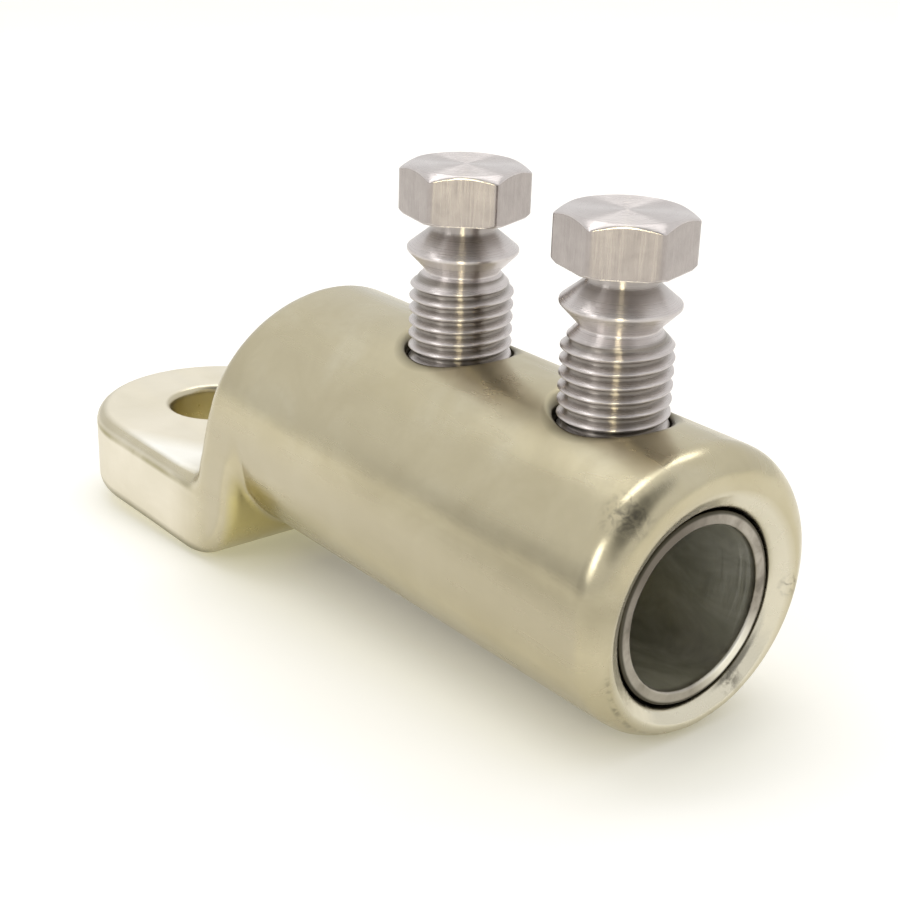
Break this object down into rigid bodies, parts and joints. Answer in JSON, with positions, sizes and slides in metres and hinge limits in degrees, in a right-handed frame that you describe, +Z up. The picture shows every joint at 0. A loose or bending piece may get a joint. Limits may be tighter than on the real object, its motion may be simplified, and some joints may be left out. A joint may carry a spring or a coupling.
{
  "type": "mechanical cable lug",
  "caption": "Forged cable lug with a cranked flat palm, a thick-walled blind barrel, a loose insert sleeve and shear bolts that screw down to clamp the conductor.",
  "frame": {"origin": "axis of the palm's stud hole, on the palm's underside", "axes": "+X along the barrel to its mouth, +Z up along the stud hole and towards the bolt heads"},
  "size_m": [0.1141, 0.0344, 0.0579],
  "materials": {
    "tinned_body": "bright tin plating over a forged skin",
    "sleeve": "bright turned tube",
    "bolts": "turned, satin"
  },
  "bodies": {
    "lug": {"lug_body": "tinned_body", "insert_sleeve": "sleeve"},
    "front_bolt": {"front_shear_bolt": "bolts"},
    "rear_bolt": {"rear_shear_bolt": "bolts"}
  },
  "joints": [
    {"name": "front_bolt_screw", "type": "slide", "parent": "lug", "child": "front_bolt", "axis": [0, 0, -1], "range_m": [-0.0045, 0.01]},
    {"name": "rear_bolt_screw", "type": "slide", "parent": "lug", "child": "rear_bolt", "axis": [0, 0, -1], "range_m": [-0.0045, 0.01]}
  ]
}
